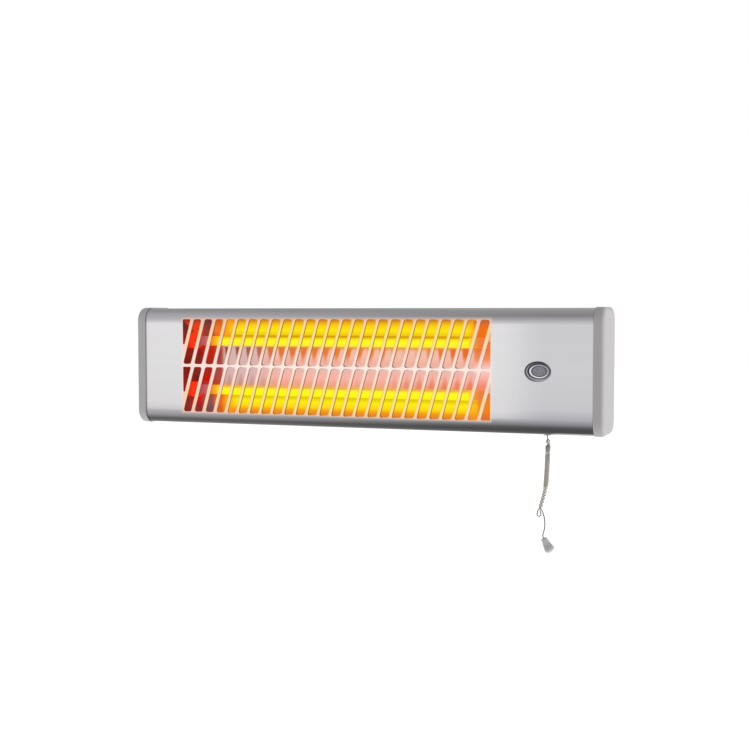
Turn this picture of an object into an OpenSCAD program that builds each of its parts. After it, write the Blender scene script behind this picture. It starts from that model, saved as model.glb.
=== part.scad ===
// Wall-mounted bar heater: two quartz tubes behind a slanted-slot grille, a tilting
// wall bracket and a pull-cord switch.
// X runs along the heater, the front faces -Y, the wall is the plane y = 0, and Z is up.
// The origin is the centre of the wall bracket's back face.

/* [Body] */
// Overall length over the end caps
body_l = 518; // [460:1:640]
// Height of the front cover
body_h = 126; // [110:1:150]
// Depth from the front panel to the back plate
body_d = 60; // [54:1:75]
// Corner radius of the body's section
corner_r = 13; // [11:0.5:16]
// Sheet thickness of the front cover
cover_t = 1; // [0.8:0.1:1.4]
// Depth of the cover's top and bottom walls, from the front
cover_d = 50; // [46:1:54]
// Sheet thickness of the rear casing
casing_t = 1; // [0.8:0.1:1.4]
// Depth of the rear casing's top and bottom walls, from the back
casing_wall = 18; // [14:1:24]
// Gap between the wall and the back of the casing
wall_gap = 38; // [36:1:50]

/* [End caps] */
// Length of an end cap along the body
cap_l = 10.3; // [9:0.1:14]
// How far an end cap stands proud of the cover's front
cap_proud = 1.8; // [1.4:0.1:2.4]
// How far an end cap reaches above and below the cover
cap_over = 0.8; // [0.7:0.1:2.4]
// Thickness of an end cap's outer wall
cap_t = 2.5; // [2:0.1:3]
// Rounding of an end cap's outer edge
cap_edge_r = 4; // [2:0.5:5]
// Height between the two screws of an end cap
cap_screw_gap = 80; // [60:1:90]

/* [Grille] */
// Distance from slot to slot
slot_pitch = 13.5; // [12:0.1:15]
// Width of a slot, along the row
slot_w = 9.4; // [8:0.1:10.5]
// Height of the rib between the two rows
rib_h = 3.1; // [2.5:0.1:5]
// Lean of the slots from upright, in degrees
slot_lean = 15.7; // [0:0.1:20]
// Rounding of the slots' corners
slot_r = 2.2; // [0.8:0.1:2.6]
// Distance from the body's top to the grille
grille_top = 11.95; // [9:0.05:16]
// Distance from the body's underside to the grille
grille_bottom = 13.15; // [9:0.05:16]
// Plain panel between the grille and the right end cap
panel_right = 103.5; // [98:0.5:120]
// Least plain panel between the left end cap and the grille
panel_left = 46; // [40:0.5:60]

/* [Heating tubes] */
// Outer diameter of a quartz tube
tube_dia = 10.5; // [9:0.5:12]
// Wall of a quartz tube
tube_wall = 1; // [0.8:0.1:1.5]
// Distance between the two tubes
tube_gap = 54; // [48:1:56]
// Depth of the tubes behind the front panel
tube_depth = 28; // [25:1:30]
// Outer diameter of a heating coil
coil_dia = 6; // [5:0.5:6.5]
// Length of a tube's cold end, which has no coil in it
cold_l = 25.6; // [20:0.1:32]
// Diameter of a ceramic end
ceramic_dia = 16.5; // [15:0.5:18]
// Length of a ceramic end
ceramic_l = 13; // [11:0.5:16]
// Diameter of a ceramic end's neck
neck_dia = 11; // [9:0.5:13]
// Diameter of a terminal pin
pin_dia = 3; // [2.5:0.5:4]
// Distance from the grille's edges to the plates that carry the tubes
carrier_gap = 8; // [7:0.5:12]

/* [Reflector] */
// Sheet thickness of the reflector
reflector_t = 0.6; // [0.4:0.1:1]
// Depth of the reflector's mouth behind the front panel
mouth_d = 5; // [3:1:8]
// Distance from the body's top and underside to the reflector's mouth
mouth_gap = 8.5; // [6.5:0.5:12]
// Depth of the troughs behind the front panel
trough_d = 42; // [40:1:46]
// Width of a trough's flat bottom
trough_w = 20; // [16:1:24]
// Depth of the ridge between the troughs behind the front panel
ridge_d = 27; // [20:1:34]

/* [Badge] */
// Width of the oval badge
badge_w = 26.5; // [20:0.5:30]
// Height of the oval badge
badge_h = 20.3; // [16:0.1:24]
// Distance from the grille to the middle of the badge
badge_off = 48.3; // [40:0.1:55]
// Width of the badge's ring
badge_rim = 3.6; // [2:0.1:5]

/* [Pull switch] */
// Distance from the grille to the pull cord
cord_off = 51.8; // [45:0.1:55]
// Depth of the pull cord behind the front panel
cord_depth = 30; // [28:1:32]
// Travel of the pull cord
pull_travel = 10; // [6:1:10]
// Radius of the switch lever
lever_r = 20; // [18:1:22]
// Width of the switch lever's arm
lever_w = 6; // [5:0.5:8]
// Thickness of the switch lever
lever_t = 5; // [4:0.5:6]
// Diameter of the lever's pin
lever_pin_dia = 3; // [2:0.5:4]
// Width of the switch body
switch_w = 24; // [20:1:28]
// Height of the switch body
switch_h = 26; // [22:1:30]
// Height of the lever's pin above the body's underside
lever_up = 25; // [21:1:28]
// Diameter of the pull cord
cord_dia = 1; // [0.8:0.1:1]
// How far the eyelet reaches below the cover
eyelet_drop = 2.5; // [1.5:0.5:4]
// Diameter of the eyelet's bore
eyelet_bore = 3.4; // [3:0.1:4]
// Length of the pull knob
knob_l = 16.2; // [12:0.2:22]
// Diameter of the pull knob
knob_dia = 10.2; // [8:0.2:12]

/* [Wall bracket] */
// Sheet thickness of the wall bracket
bracket_t = 2; // [1.5:0.5:3]
// Length of the wall bracket inside its ears
bracket_l = 252; // [240:1:300]
// Height of the wall bracket's plate
bracket_h = 40; // [32:1:50]
// Distance from the wall to the tilt axis
pivot_y = 24; // [22:1:28]
// Radius of the ears round the tilt axis
ear_r = 9; // [7:0.5:10]
// Diameter of the pivot screws
pivot_dia = 5; // [4:0.5:6]
// Sheet thickness of the hinge plate on the casing
hinge_t = 1.5; // [1.2:0.1:2]
// Thickness of a friction washer
washer_t = 1.3; // [1:0.1:2]
// Distance between neighbouring rivets of the hinge plate
rivet_gap = 60; // [40:1:70]
// Distance between the two wall screw holes
wall_hole_gap = 200; // [160:1:220]
// Diameter of the wall screw holes
wall_hole_dia = 5.5; // [4:0.5:8]

/* [Hidden] */
$fn = 64;

// Clearances
fit = 0.1;
run = 0.05;
seat = 0.3;
cut = 1;

// Places along the body
front_y = -(wall_gap + body_d);
back_y = -wall_gap;
half_l = body_l / 2;
lip_x = half_l - cap_l;
shell_x = half_l - cap_t - seat;
inner_back_y = back_y - casing_t;
floor_z = -body_h / 2;

// Rivets
rivet_r = 1.6;
rivet_head_t = 1.2;
rivet_row_gap = 18;
rivet_places = [
    for (k = [-1.5 : 1.5], z = [-rivet_row_gap / 2, rivet_row_gap / 2]) [k * rivet_gap, z]
];

// End cap screws
cap_screw_r = 1.4;
cap_screw_l = 7;
cap_screw_head_r = 2.7;
cap_screw_head_t = 1.6;
cap_screw_x = lip_x + (cap_l - cap_t) / 2;

// Grille
row_h = (body_h - grille_top - grille_bottom - rib_h) / 2;
slot_run = row_h * tan(slot_lean);
grille_x = lip_x - panel_right;
grille_z = (grille_bottom - grille_top) / 2;
slot_count = 1 + floor((grille_x + lip_x - panel_left - slot_w - slot_run) / slot_pitch);
grille_left = grille_x - (slot_count - 1) * slot_pitch - slot_w - slot_run;
part_slot_w = slot_w + slot_run - slot_pitch;
upper_row_z = grille_z + rib_h / 2;
lower_row_z = grille_z - rib_h / 2 - row_h;
arc_steps = 4;

// Heating tubes and what carries them
tube_y = front_y + tube_depth;
tube_zs = [-tube_gap / 2, tube_gap / 2];
left_face = grille_left - carrier_gap;
right_face = grille_x + carrier_gap;
carrier_t = 1;
carrier_foot = 10;
carrier_depth = 2;
carrier_edge = 1;
carrier_h = body_h - 2 * (cover_t + fit + casing_t + carrier_edge);
carrier_rivet_edge = 19;
foot_edge = 4;
carrier_rivet_z = body_h / 2 - carrier_rivet_edge;
carrier_rivet_zs = [-carrier_rivet_z, carrier_rivet_z];
foot_h = 2 * (carrier_rivet_z + foot_edge);
carrier_rivet_places = [
    for (x = [left_face + carrier_foot / 2, right_face - carrier_foot / 2],
         z = carrier_rivet_zs) [x, z]
];
neck_l = 4;
socket_l = ceramic_l - neck_l;
tube_x0 = left_face + ceramic_l - socket_l;
tube_x1 = right_face - ceramic_l + socket_l;
lead_r = 0.7;
pin_out = 9;
nut_t = 2.5;
nut_across = 5.5;
mouth_h = body_h - 2 * mouth_gap;
mouth_lip = 2;
ridge_flat = 3;

// Thermal cut-out
cutout_depth = 16;
cutout_y = front_y + cutout_depth;
cutout_r = 8;
cutout_t = 7;
cutout_stem_r = 1.4;
cutout_tab_gap = 8;
tab_t = 0.8;
tab_w = 6;

// Vents in the casing's back, behind the reflector
vent_l = 30;
vent_w = 3;
vent_gap = 44;
vent_edge = 24;
vent_z = body_h / 2 - vent_edge;
vent_mid = (left_face + right_face) / 2;
vent_count = 1 + floor((right_face - left_face - 2 * carrier_foot - vent_l) / vent_gap);

// Badge
badge_x = grille_x + badge_off;
badge_stud_gap = badge_w / 2;
badge_stud_dia = 2;
badge_stud_l = 2.5;
badge_proud = 1.2;
badge_clip_t = 0.6;
badge_clip_h = 6;
oval_sides = 48;

// Switch
cord_x = grille_x + cord_off;
cord_y = front_y + cord_depth;
cord_r = cord_dia / 2;
lever_x = cord_x - lever_r;
lever_z = floor_z + lever_up;
lever_swing = asin(pull_travel / 2 / lever_r);
lever_front = cord_y - lever_t / 2;
lever_back = cord_y + lever_t / 2;
lever_hub_r = 5;
slot_in_lever = 4.4;
spring_l = 5.5;
spring_wire_r = 0.4;
spring_turns = 4;
switch_front = lever_back + spring_l;
switch_under_pin = 10;
switch_z0 = lever_z - switch_under_pin;
switch_top = switch_z0 + switch_h;
switch_mid_y = (switch_front + inner_back_y) / 2;
switch_tab_gap = 6;
switch_tab_w = 3.2;
switch_tab_l = 5;
switch_screw_r = 1.5;
switch_screw_l = 5;
switch_screw_gap = 14;
switch_screw_drop = 5;
switch_screw_places = [
    for (s = [-0.5, 0.5]) [lever_x + s * switch_screw_gap, lever_z - switch_screw_drop]
];
pin_in_switch = 6;
pin_head_t = 1.2;
pin_head_rim = 1;
knot_r = 1.8;
knot_gap = 0.2;
knot_z = lever_z + lever_r * sin(lever_swing)
    + (lever_w / 2 + knot_r + knot_gap) / cos(lever_swing);

// Eyelet
eyelet_wall = 1.5;
eyelet_rim = 1.6;
eyelet_in = 2;
eyelet_edge = 1;
eyelet_barrel_r = eyelet_bore / 2 + eyelet_wall;
eyelet_z = floor_z - eyelet_drop;
swivel_z = eyelet_z + seat;

// Terminal block
block_w = 26;
block_h = 18;
block_d = 12;
block_off = 24;
block_drop = 46;
block_x = cord_x + block_off;
block_z0 = body_h / 2 - block_drop;
block_screw_edge = 4;
block_screw_in = 4;
block_screw_zs = [block_z0 + block_screw_edge, block_z0 + block_h - block_screw_edge];
pole_gap = 8;
clamp_r = 1.7;
clamp_up = 5;
clamp_gap = 8;
clamp_floor = 5;
clamp_sunk = 1;
clamp_places = [
    for (k = [-1 : 1], z = [clamp_up, clamp_up + clamp_gap])
        [block_x + k * pole_gap, block_z0 + z]
];

// Earth screw
earth_off = 38;
earth_drop = 70;
earth_x = cord_x + earth_off;
earth_z = body_h / 2 - earth_drop;
earth_r = 2;
earth_head_r = 3.6;
earth_head_t = 3;
earth_nut_t = 2.6;
earth_nut_across = 7;

// Cable gland
gland_off = 26;
gland_up = 29;
gland_x = cord_x + gland_off;
gland_z = floor_z + gland_up;
gland_barrel_r = 7;
gland_bore_r = 3.6;
gland_in = 10;
gland_out = 9;
gland_flange_r = 9.5;
gland_flange_t = 3;
gland_dome_r = 8;
gland_nut_t = 4;
gland_nut_across = 18;

// Wires, which run in the space behind the reflector
wire_r = 1.2;
wire_sides = 8;
wire_gap = 0.4;
wire_bend = 6;
bend_share = 0.45;
wire_hole_r = 2;
wire_y = (front_y + trough_d + reflector_t + inner_back_y) / 2;
crossing_y = wire_y - 2 * wire_r - wire_gap;
wire_in = 1;
left_end_x = left_face - pin_out + wire_in;
right_end_x = right_face + pin_out - wire_in;
pin_side = pin_dia / 2 + seat / 2;
tab_end = switch_top + switch_tab_l + seat;
tab_drop = 10;
low_turn = 18;
high_turn = 21;
earth_turn = 6;

// Wall bracket and hinge
ear_x = bracket_l / 2;
hinge_x = ear_x - washer_t - 2 * fit;
hinge_base_y = back_y + hinge_t;
hinge_h = 30;
washer_rim = 1;
pivot_head_dia = 9.5;
pivot_head_t = 3;
pivot_nut_t = 4;
pivot_nut_across = 8;
pivot_end = 1;

// Pull cord, from its top end down. Depths are measured down from swivel_z.
cord_gap = 0.4;
cord_sides = 6;
curl_rings = 8;
wrap_r = 2;
wrap_pitch = 3;
wrap_from = 7;
wrap_turns = 13;
loose_r = 1.5;
loose_pitch = 12;
loose_turns = 2;
entry_drop = 6;
entry_turn = 30;
tight_to = wrap_from + entry_drop + wrap_turns * wrap_pitch;
loose_to = tight_to + loose_turns * loose_pitch;
// The winding's axis: out to the right at its top, bowed, and aslant from the loose turns on
top_out = 0.7;
top_out_l = 5;
bow = 0.00075;
slant = 0.19;
slant_soft = 5;
eye_r = 2;
eye_drop = 5;
eye_in = 0.8;
core_step = 4;
core_top = 8;
lead_in = 1.5;
lead_l = 4;
top_drop = 5.5;
top_l = 5;
leave_turn = 60;
// Route of the tail below the winding: across and in front from the cord's top end, and down
tail_points = [
    [-5.1, -0.7, 76.3], [-3.5, -0.1, 79.8], [-2.4, 0, 85.4], [-2, 0, 91], [-2.6, 0, 96.8],
    [-3.6, 0, 101]
];

// Pull knob
knob_lean = 29;
knob_waist = 0.62;
knob_at = [-3.3, 0, 105];
knob_top_r = 2.6;
knob_chamfer = 0.4;
knob_shoulder = 0.8;
knob_dome = 3.8;
knob_cord_in = 2.2;

// ---------------------------------------------------------------- helpers

function unit(v) = v / norm(v);

// Arc that rounds corner b between a and c
function corner_arc(a, b, c, r) =
    let (
        u = unit(a - b), v = unit(c - b), half = acos(u * v) / 2,
        centre = b + unit(u + v) * r / sin(half),
        p = b + u * r / tan(half) - centre,
        start = atan2(p.y, p.x),
        side = u.x * v.y - u.y * v.x > 0 ? -1 : 1
    )
    [for (i = [0 : arc_steps])
        let (angle = start + side * (180 - 2 * half) * i / arc_steps)
        centre + r * [cos(angle), sin(angle)]];

// Closed outline with its corners rounded
function rounded(points, r) =
    let (n = len(points))
    [for (i = [0 : n - 1])
        each corner_arc(points[(i + n - 1) % n], points[i], points[(i + 1) % n], r)];

// Outline of a sheet of thickness t that follows an open path, on the path's right
function sheet_outline(path, t) =
    let (
        n = len(path),
        side = [for (i = [0 : n - 2]) let (u = unit(path[i + 1] - path[i])) [u.y, -u.x]],
        off = [for (i = [0 : n - 1])
            let (a = side[max(i - 1, 0)], b = side[min(i, n - 2)])
            path[i] + t * (a + b) / (1 + a * b)]
    )
    concat(path, [for (i = [n - 1 : -1 : 0]) off[i]]);

// Path with each inner corner turned into a bend, which ends short of the next one
function bent(points, reach, steps = 4) =
    let (last = len(points) - 1)
    concat([points[0]],
        [for (i = [1 : last - 1])
            let (
                b = points[i], before = points[i - 1] - b, after = points[i + 1] - b,
                room = min(reach, bend_share * norm(before), bend_share * norm(after)),
                p = b + unit(before) * room,
                q = b + unit(after) * room
            )
            for (k = [0 : steps])
                let (t = k / steps)
                (1 - t) * (1 - t) * p + 2 * t * (1 - t) * b + t * t * q],
        [points[last]]);

// Directions along a path, and a normal at each point that turns no more than it must
function directions(path) =
    let (last = len(path) - 1)
    [for (i = [0 : last])
        i == 0 ? unit(path[1] - path[0])
        : i == last ? unit(path[last] - path[last - 1])
        : unit(unit(path[i + 1] - path[i]) + unit(path[i] - path[i - 1]))];

function normals(tangents) =
    let (
        first = tangents[0],
        aside = abs(first.x) < 0.9 ? [1, 0, 0] : [0, 1, 0],
        start = unit(aside - (aside * first) * first)
    )
    [for (i = 0, n = start;
          i < len(tangents);
          i = i + 1,
          n = i < len(tangents) ? unit(n - (n * tangents[i]) * tangents[i]) : n) n];

// Round tube of triangles swept along a path
module tube(path, r, sides) {
    tangents = directions(path);
    sideways = normals(tangents);
    rings = len(path);
    points = [for (i = [0 : rings - 1])
        let (n = sideways[i], b = cross(tangents[i], n))
        for (k = [0 : sides - 1])
            path[i] + r * (cos(360 * k / sides) * n + sin(360 * k / sides) * b)];
    wall = [for (i = [0 : rings - 2], k = [0 : sides - 1])
        let (a = i * sides + k, b = i * sides + (k + 1) % sides)
        each [[a, a + sides, b + sides], [a, b + sides, b]]];
    near = [for (k = [1 : sides - 2]) [0, k, k + 1]];
    far = [for (k = [1 : sides - 2])
        let (o = (rings - 1) * sides) [o, o + k + 1, o + k]];
    polyhedron(points, concat(wall, near, far), convexity = 10);
}

// Places a 2D section, drawn as depth from the front and height, along the body
module along_x(x0, x1)
    translate([x0, front_y, 0])
    rotate([90, 0, 90])
    linear_extrude(x1 - x0)
    children();

// Places a 2D front view at a distance y0 to y1
module along_y(y0, y1)
    translate([0, y1, 0])
    rotate([90, 0, 0])
    linear_extrude(y1 - y0)
    children();

module rod_x(x0, x1, r, y, z)
    translate([x0, y, z]) rotate([0, 90, 0]) cylinder(h = x1 - x0, r = r);

module rod_y(y0, y1, r, x, z)
    translate([x, y0, z]) rotate([-90, 0, 0]) cylinder(h = y1 - y0, r = r);

module block(x0, x1, y0, y1, z0, z1)
    translate([x0, y0, z0]) cube([x1 - x0, y1 - y0, z1 - z0]);

// Rounded rectangle, from depth d0 to d1
module section(d0, d1, h, r) {
    translate([d0 + r, -h / 2]) square([d1 - d0 - 2 * r, h]);
    translate([d0, r - h / 2]) square([d1 - d0, h - 2 * r]);
    for (d = [d0 + r, d1 - r], z = [r - h / 2, h / 2 - r])
        translate([d, z]) circle(r, $fn = 96);
}

module oval(w, h)
    polygon([for (i = [0 : oval_sides - 1])
        let (a = 360 * i / oval_sides) [w / 2 * cos(a), h / 2 * sin(a)]]);

module stadium(length, width) {
    square([length - width, width], center = true);
    for (x = [-1, 1]) translate([x * (length - width) / 2, 0]) circle(width / 2);
}

module hexagon(across)
    circle(across / sqrt(3), $fn = 6);

// ---------------------------------------------------------------- casing

// Outline of a whole slot whose top right corner is at x
function whole_slot(x, z) = [
    [x - slot_w - slot_run, z], [x - slot_run, z],
    [x, z + row_h], [x - slot_w, z + row_h]
];

// Outlines of the part slots at the ends of a row
function left_slot(z) = [
    [grille_left, z + row_h], [grille_left, z + row_h - part_slot_w * row_h / slot_run],
    [grille_left + part_slot_w, z + row_h]
];

function right_slot(z) = [
    [grille_x - part_slot_w, z], [grille_x, z],
    [grille_x, z + part_slot_w * row_h / slot_run]
];

module slots() {
    for (z = [upper_row_z, lower_row_z]) {
        for (k = [0 : slot_count - 1])
            polygon(rounded(whole_slot(grille_x - k * slot_pitch, z), slot_r));
        if (part_slot_w > 2 * slot_r) {
            polygon(rounded(left_slot(z), slot_r / 2));
            polygon(rounded(right_slot(z), slot_r / 2));
        }
    }
}

module front_cover() color("gainsboro")
    difference() {
        along_x(-shell_x, shell_x) difference() {
            section(0, body_d, body_h, corner_r);
            section(cover_t, body_d + corner_r, body_h - 2 * cover_t, corner_r - cover_t);
            translate([cover_d, -body_h]) square([body_d, 2 * body_h]);
        }
        along_y(front_y - cut, front_y + cover_t + cut) slots();
        for (x = [-1, 1])
            rod_y(front_y - cut, front_y + cover_t + cut, badge_stud_dia / 2 + run,
                badge_x + x * badge_stud_gap / 2, 0);
        translate([cord_x, cord_y, floor_z - cut])
            cylinder(h = cover_t + 2 * cut, r = eyelet_barrel_r + fit);
    }

module rear_casing() color("silver") {
    out_h = body_h - 2 * (cover_t + fit);
    out_r = corner_r - cover_t - fit;
    difference() {
        along_x(-shell_x, shell_x) difference() {
            section(0, body_d, out_h, out_r);
            section(-corner_r, body_d - casing_t, out_h - 2 * casing_t, out_r - casing_t);
            translate([-cut, -body_h]) square([body_d - casing_wall + cut, 2 * body_h]);
        }
        for (i = [0 : vent_count - 1], z = [-vent_z, vent_z])
            along_y(inner_back_y - cut, back_y + cut)
                translate([vent_mid + (i - (vent_count - 1) / 2) * vent_gap, z])
                stadium(vent_l, vent_w);
        for (x = [-cap_screw_x, cap_screw_x], z = [-1, 1])
            rod_y(inner_back_y - cut, back_y + cut, cap_screw_r + run, x, z * cap_screw_gap / 2);
        for (p = rivet_places) rod_y(inner_back_y - cut, back_y + cut, rivet_r + run, p.x, p.y);
        for (p = carrier_rivet_places)
            rod_y(inner_back_y - cut, back_y + cut, rivet_r + run, p.x, p.y);
        for (p = switch_screw_places)
            rod_y(inner_back_y - cut, back_y + cut, switch_screw_r + run, p.x, p.y);
        for (z = block_screw_zs)
            rod_y(inner_back_y - cut, back_y + cut, rivet_r + run, block_x, z);
        rod_y(inner_back_y - cut, back_y + cut, earth_r + run, earth_x, earth_z);
        rod_y(inner_back_y - cut, back_y + cut, gland_barrel_r + run, gland_x, gland_z);
    }
}

// A quarter-rounded disc at one corner of an end cap
module cap_corner(r) {
    steps = 6;
    edge = [for (i = [0 : steps])
        let (a = 90 * i / steps)
        [r - cap_edge_r + cap_edge_r * cos(a), cap_l - cap_edge_r + cap_edge_r * sin(a)]];
    rotate_extrude($fn = 48) polygon(concat([[0, 0], [r, 0]], edge, [[0, cap_l]]));
}

module end_cap() {
    r = corner_r + cap_proud;
    difference() {
        translate([lip_x, front_y, 0])
            rotate([90, 0, 90])
            hull()
            for (d = [corner_r, body_d - corner_r], z = [-1, 1])
                translate([d, z * (body_h / 2 + cap_over - r), 0]) cap_corner(r);
        along_x(lip_x - cut, half_l - cap_t)
            section(-fit, body_d + fit, body_h + 2 * fit, corner_r + fit);
        for (z = [-1, 1])
            rod_y(back_y - cut, back_y + cap_proud + cut, cap_screw_r + run,
                cap_screw_x, z * cap_screw_gap / 2);
    }
}

module right_end_cap() color("lightgray") end_cap();

module left_end_cap() color("lightgray") mirror([1, 0, 0]) end_cap();

module end_cap_screws() color("dimgray")
    for (x = [-cap_screw_x, cap_screw_x], z = [-1, 1]) {
        rod_y(back_y + cap_proud - cap_screw_l, back_y + cap_proud, cap_screw_r,
            x, z * cap_screw_gap / 2);
        rod_y(back_y + cap_proud, back_y + cap_proud + cap_screw_head_t, cap_screw_head_r,
            x, z * cap_screw_gap / 2);
    }

// ---------------------------------------------------------------- wall bracket and hinge

// Ear drawn as depth and height, from the line y = from to the round end at the tilt axis
module ear(from, root_h) {
    difference() {
        union() {
            polygon([[from, -root_h / 2], [from, root_h / 2], [-pivot_y, ear_r], [-pivot_y, -ear_r]]);
            translate([-pivot_y, 0]) circle(ear_r);
        }
        translate([-pivot_y, 0]) circle(pivot_dia / 2 + run);
    }
}

module ear_plate(x, t) translate([x, 0, 0]) rotate([90, 0, 90]) linear_extrude(t) children();

module wall_bracket() color("gainsboro")
    difference() {
        union() {
            block(-ear_x - bracket_t, ear_x + bracket_t, -bracket_t, 0,
                -bracket_h / 2, bracket_h / 2);
            ear_plate(ear_x, bracket_t) ear(0, bracket_h);
            ear_plate(-ear_x - bracket_t, bracket_t) ear(0, bracket_h);
        }
        for (x = [-1, 1])
            rod_y(-bracket_t - cut, cut, wall_hole_dia / 2, x * wall_hole_gap / 2, 0);
    }

module hinge_plate() color("silver")
    difference() {
        union() {
            block(-hinge_x, hinge_x, back_y, hinge_base_y, -hinge_h / 2, hinge_h / 2);
            ear_plate(hinge_x - hinge_t, hinge_t) ear(back_y, hinge_h);
            ear_plate(-hinge_x, hinge_t) ear(back_y, hinge_h);
        }
        for (p = rivet_places) rod_y(back_y - cut, hinge_base_y + cut, rivet_r + run, p.x, p.y);
    }

module pivot_screws() color("dimgray")
    for (s = [-1, 1]) scale([s, 1, 1]) {
        rod_x(hinge_x - hinge_t - pivot_nut_t - pivot_end, ear_x + bracket_t + fit,
            pivot_dia / 2, -pivot_y, 0);
        rod_x(ear_x + bracket_t + fit, ear_x + bracket_t + fit + pivot_head_t,
            pivot_head_dia / 2, -pivot_y, 0);
    }

module friction_washers() color("saddlebrown")
    for (s = [-1, 1]) scale([s, 1, 1])
        difference() {
            rod_x(hinge_x + fit, hinge_x + fit + washer_t, ear_r - washer_rim, -pivot_y, 0);
            rod_x(hinge_x - cut, ear_x + cut, pivot_dia / 2 + run, -pivot_y, 0);
        }

module pivot_nuts() color("silver")
    for (s = [-1, 1]) scale([s, 1, 1])
        difference() {
            translate([hinge_x - hinge_t - pivot_nut_t, -pivot_y, 0])
                rotate([0, 90, 0]) linear_extrude(pivot_nut_t) hexagon(pivot_nut_across);
            rod_x(hinge_x - hinge_t - pivot_nut_t - cut, hinge_x, pivot_dia / 2 + run, -pivot_y, 0);
        }

module rivet(y0, y1, x, z) {
    rod_y(y0, y1, rivet_r, x, z);
    rod_y(y0 - rivet_head_t, y0, 2 * rivet_r, x, z);
    rod_y(y1, y1 + rivet_head_t, 2 * rivet_r, x, z);
}

module hinge_rivets() color("gray")
    for (p = rivet_places) rivet(inner_back_y, hinge_base_y, p.x, p.y);

// ---------------------------------------------------------------- reflector and tubes

// Upper half of the reflector's section, from the mouth to the ridge
reflector_half = [
    [mouth_d, mouth_h / 2 + mouth_lip],
    [mouth_d, mouth_h / 2],
    [trough_d, (tube_gap + trough_w) / 2],
    [trough_d, (tube_gap - trough_w) / 2],
    [ridge_d, ridge_flat / 2]
];

module reflector() color("lightyellow") {
    lower_half = [for (i = [len(reflector_half) - 1 : -1 : 0])
        [reflector_half[i].x, -reflector_half[i].y]];
    along_x(left_face, right_face)
        polygon(sheet_outline(concat(reflector_half, lower_half), -reflector_t));
}

// Plate that closes the reflector's end, with a foot under the reflector, on the back plate
module carrier() difference() {
    union() {
        along_x(0, carrier_t)
            section(carrier_depth, body_d - casing_t, carrier_h, corner_r - cover_t);
        along_x(-carrier_foot, carrier_t)
            translate([body_d - casing_t - carrier_t, -foot_h / 2]) square([carrier_t, foot_h]);
    }
    for (z = tube_zs) rod_x(-cut, carrier_t + cut, neck_dia / 2 + run, tube_y, z);
    rod_x(-cut, carrier_t + cut, wire_hole_r, wire_y, 0);
    for (z = carrier_rivet_zs)
        rod_y(inner_back_y - carrier_t - cut, back_y, rivet_r + run, -carrier_foot / 2, z);
}

module tube_carrier_left() color("silver")
    translate([left_face, 0, 0]) mirror([1, 0, 0]) carrier();

module tube_carrier_right() color("silver")
    difference() {
        translate([right_face, 0, 0]) carrier();
        rod_x(right_face - cut, right_face + carrier_t + cut, cutout_stem_r + run, cutout_y, 0);
    }

module carrier_rivets() color("gray")
    for (p = carrier_rivet_places) rivet(inner_back_y - carrier_t, back_y, p.x, p.y);

module quartz_tube(z)
    difference() {
        rod_x(tube_x0, tube_x1, tube_dia / 2, tube_y, z);
        rod_x(tube_x0 - cut, tube_x1 + cut, tube_dia / 2 - tube_wall, tube_y, z);
    }

module quartz_tube_upper() color("gold") quartz_tube(tube_zs[1]);

module quartz_tube_lower() color("gold") quartz_tube(tube_zs[0]);

module heating_coil(z) {
    rod_x(tube_x0 + cold_l, tube_x1 - cold_l, coil_dia / 2, tube_y, z);
    rod_x(tube_x0, tube_x1, lead_r, tube_y, z);
}

module heating_coil_upper() color("orange") heating_coil(tube_zs[1]);

module heating_coil_lower() color("orange") heating_coil(tube_zs[0]);

// Ceramic end that grows from the carrier's face at x = 0 towards +X
module ceramic_end(z)
    difference() {
        union() {
            rod_x(0, ceramic_l, ceramic_dia / 2, tube_y, z);
            rod_x(-neck_l, 0, neck_dia / 2, tube_y, z);
        }
        rod_x(ceramic_l - socket_l, ceramic_l + cut, tube_dia / 2 + run, tube_y, z);
        rod_x(-neck_l - cut, ceramic_l, pin_dia / 2 + run, tube_y, z);
    }

module ceramic_ends_left() color("tomato")
    translate([left_face, 0, 0]) for (z = tube_zs) ceramic_end(z);

module ceramic_ends_right() color("tomato")
    translate([right_face, 0, 0]) mirror([1, 0, 0]) for (z = tube_zs) ceramic_end(z);

module terminal_pins() color("silver")
    for (z = tube_zs) {
        rod_x(left_face - pin_out, tube_x0, pin_dia / 2, tube_y, z);
        rod_x(tube_x1, right_face + pin_out, pin_dia / 2, tube_y, z);
    }

module terminal_nut(x, z)
    difference() {
        translate([x, tube_y, z]) rotate([0, 90, 0]) linear_extrude(nut_t) hexagon(nut_across);
        rod_x(x - cut, x + nut_t + cut, pin_dia / 2 + run, tube_y, z);
    }

module terminal_nuts() color("goldenrod")
    for (z = tube_zs) {
        terminal_nut(left_face - neck_l - nut_t, z);
        terminal_nut(right_face + neck_l, z);
    }

// ---------------------------------------------------------------- wiring

module wire(points) tube(bent(points, wire_bend), wire_r, wire_sides);

module link_wire() color("firebrick")
    tube([
        for (z = [tube_gap / 2 - pin_side, 0, pin_side - tube_gap / 2])
            [left_end_x, tube_y, z]
    ], wire_r, wire_sides);

module return_wire() color("royalblue")
    wire([
        [left_end_x, tube_y + wire_r + seat, 0],
        [left_end_x, wire_y, 0],
        [block_x, wire_y, 0],
        [block_x, wire_y, block_z0 - seat]
    ]);

// Each switch wire comes down on its tab from a height of its own, so that none touches another
module feed_wire_upper() color("firebrick")
    wire([
        [right_end_x, tube_y + pin_side, tube_gap / 2],
        [right_end_x, crossing_y, tube_gap / 2],
        [lever_x - switch_tab_gap, crossing_y, tube_gap / 2 - tab_drop],
        [lever_x - switch_tab_gap, switch_mid_y, switch_top + low_turn],
        [lever_x - switch_tab_gap, switch_mid_y, tab_end]
    ]);

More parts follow.
